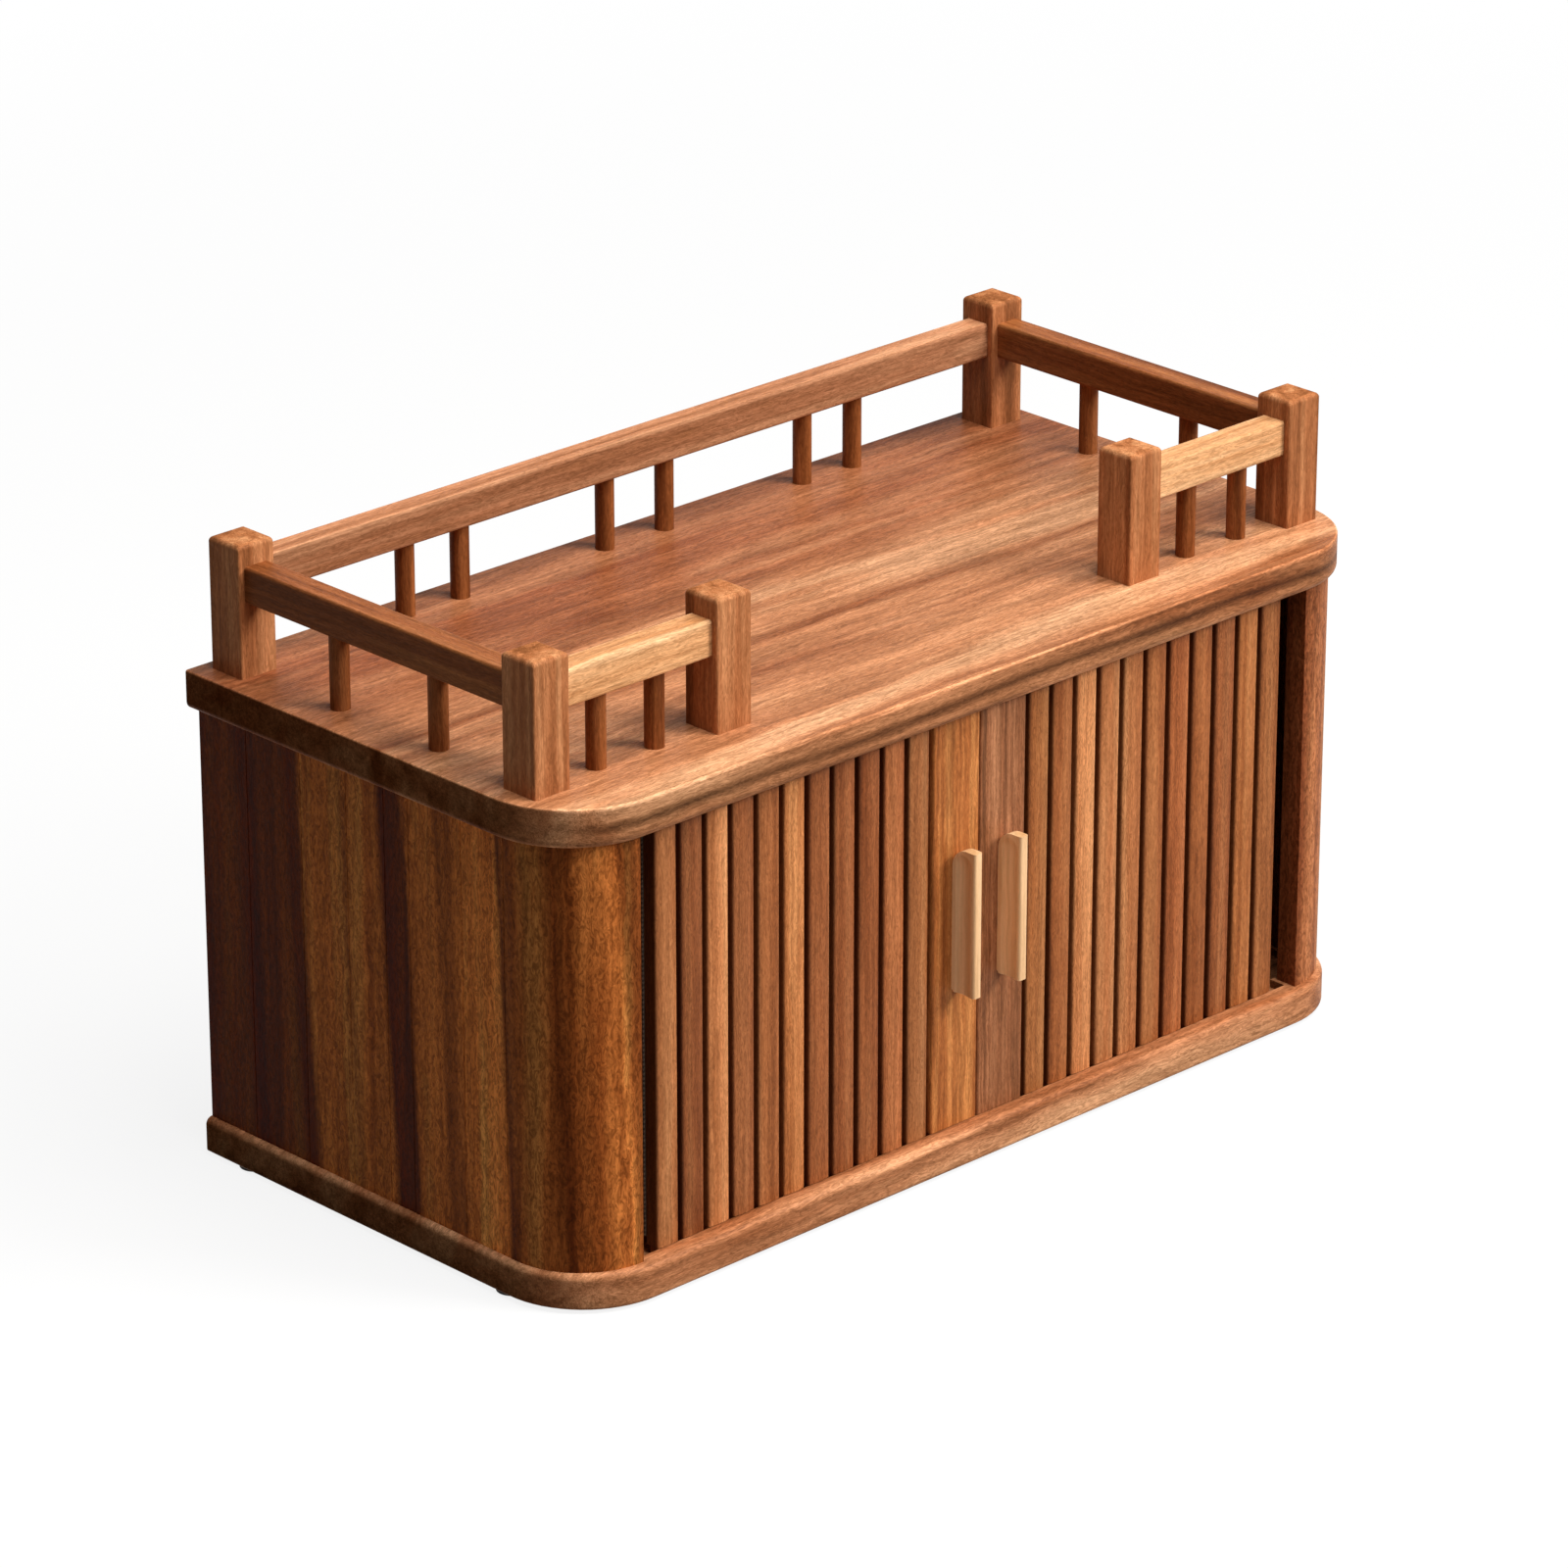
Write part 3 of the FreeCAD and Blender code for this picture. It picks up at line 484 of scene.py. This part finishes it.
# Rubber pads, moulded, with a matt skin as it comes from the mould
padLook = {"colour": "#2a2420", "shade": "#1b1714", "grainMm": 0.8, "speckleAt": (0.35, 0.65),
           "roughness": 0.85, "dullness": 0.1, "metallic": 0.0}
dress(namesEnding("_screws"), speckledMaterial("zinc plated steel", screwLook))
dress(["feet"], speckledMaterial("moulded rubber", padLook))
print("screws and feet dressed")

# Camera, at the photograph's own viewpoint
cameraLook = {"place": (-1.8737, -1.9284, 1.2484), "pitch": 67.418, "yaw": -44.02, "lens": 166.06,
              "sensor": 36.0, "farthest": 50.0}
cameraData = bpy.data.cameras.new("studio camera")
cameraData.lens = cameraLook["lens"]
cameraData.sensor_width = cameraLook["sensor"]
cameraData.clip_end = cameraLook["farthest"]
camera = bpy.data.objects.new("studio camera", cameraData)
bpy.context.scene.collection.objects.link(camera)
camera.location = cameraLook["place"]
camera.rotation_euler = (math.radians(cameraLook["pitch"]), 0.0, math.radians(cameraLook["yaw"]))
bpy.context.scene.camera = camera
print("camera set")

# Floor, backdrop and lamps. Near the cabinet the share ownLight of the floor is its own light and the rest
# takes shadows. Between paleFrom and paleTo metres away that share rises to all of it, so that the floor
# meets the white world without an edge. What the lamps throw back from it has the colour floorBounce.
stageLook = {
    "floorSize": 24.0, "floor": "#f6f5f3", "floorBounce": "#8c8884", "ownLight": 0.86,
    "paleFrom": 0.56, "paleTo": 1.6, "world": "#ffffff", "worldStrength": 0.1,
    "lamps": [
        # name, place, width, watts
        ("key lamp", (1.5, -2.3, 1.9), 1.4, 100.0),
        ("top lamp", (0.0, -0.7, 2.1), 1.4, 46.0),
    ],
    "lampAim": 0.12,
}


def seenRays(tree):
    # 1 for what the camera sees, straight or by way of a shiny or clear surface
    rays = addNode(tree, "ShaderNodeLightPath")
    other = addNode(tree, "ShaderNodeMath", {"operation": "MAXIMUM"}, {
        0: rays.outputs["Is Glossy Ray"], 1: rays.outputs["Is Transmission Ray"]}).outputs[0]
    return rays, addNode(tree, "ShaderNodeMath", {"operation": "MAXIMUM"}, {
        0: rays.outputs["Is Camera Ray"], 1: other}).outputs[0]


def makeFloor(look):
    # White paper sweep, rolled out flat and matt
    bpy.ops.object.select_all(action="DESELECT")
    bpy.ops.mesh.primitive_plane_add(size=look["floorSize"], location=(0, 0, 0))
    floor = bpy.context.object
    floor.name = "floor"
    material, tree = newMaterial("paper sweep")
    rays, seen = seenRays(tree)
    place = addNode(tree, "ShaderNodeTexCoord").outputs["Object"]
    away = addNode(tree, "ShaderNodeVectorMath", {"operation": "LENGTH"}, {0: place}).outputs["Value"]
    share = addNode(tree, "ShaderNodeMath", {"operation": "DIVIDE"}, {0: away, 1: look["paleTo"]}).outputs[0]
    own = setStops(addNode(tree, "ShaderNodeValToRGB", inputs={"Fac": share}), [
        (look["paleFrom"] / look["paleTo"], grey(look["ownLight"])), (1.0, grey(1.0))])
    glowShare = addNode(tree, "ShaderNodeMath", {"operation": "MULTIPLY"}, {0: seen, 1: own}).outputs[0]
    tint = addNode(tree, "ShaderNodeMix", {"data_type": "RGBA"}, {
        0: rays.outputs["Is Camera Ray"], 6: linearColour(look["floorBounce"]),
        7: linearColour(look["floor"])}).outputs[2]
    paper = addNode(tree, "ShaderNodeBsdfDiffuse", inputs={"Color": tint}).outputs["BSDF"]
    glow = addNode(tree, "ShaderNodeEmission", inputs={"Color": grey(1.0), "Strength": 1.0})
    mix = addNode(tree, "ShaderNodeMixShader", inputs={0: glowShare, 1: paper, 2: glow.outputs["Emission"]})
    addNode(tree, "ShaderNodeOutputMaterial", inputs={"Surface": mix.outputs["Shader"]})
    floor.data.materials.append(material)


def makeWorld(look):
    world = bpy.data.worlds.new("studio")
    bpy.context.scene.world = world
    world.use_nodes = True
    tree = world.node_tree
    tree.nodes.clear()
    dim = addNode(tree, "ShaderNodeBackground", inputs={
        "Color": linearColour(look["world"]), "Strength": look["worldStrength"]}).outputs["Background"]
    white = addNode(tree, "ShaderNodeBackground", inputs={
        "Color": grey(1.0), "Strength": 1.0}).outputs["Background"]
    mix = addNode(tree, "ShaderNodeMixShader", inputs={0: seenRays(tree)[1], 1: dim, 2: white})
    addNode(tree, "ShaderNodeOutputWorld", inputs={"Surface": mix.outputs["Shader"]})


def makeLamp(name, place, width, watts):
    # A round softbox, aimed at the middle of the cabinet
    data = bpy.data.lights.new(name, "AREA")
    data.shape = "DISK"
    data.size = width
    data.energy = watts
    lamp = bpy.data.objects.new(name, data)
    bpy.context.scene.collection.objects.link(lamp)
    lamp.location = place
    aim = lamp.location.copy()
    aim.z -= stageLook["lampAim"]
    lamp.rotation_euler = aim.to_track_quat("Z", "Y").to_euler()


makeFloor(stageLook)
makeWorld(stageLook)
for lampValues in stageLook["lamps"]:
    makeLamp(*lampValues)
bpy.context.scene.view_settings.view_transform = "Standard"
print("stage set")
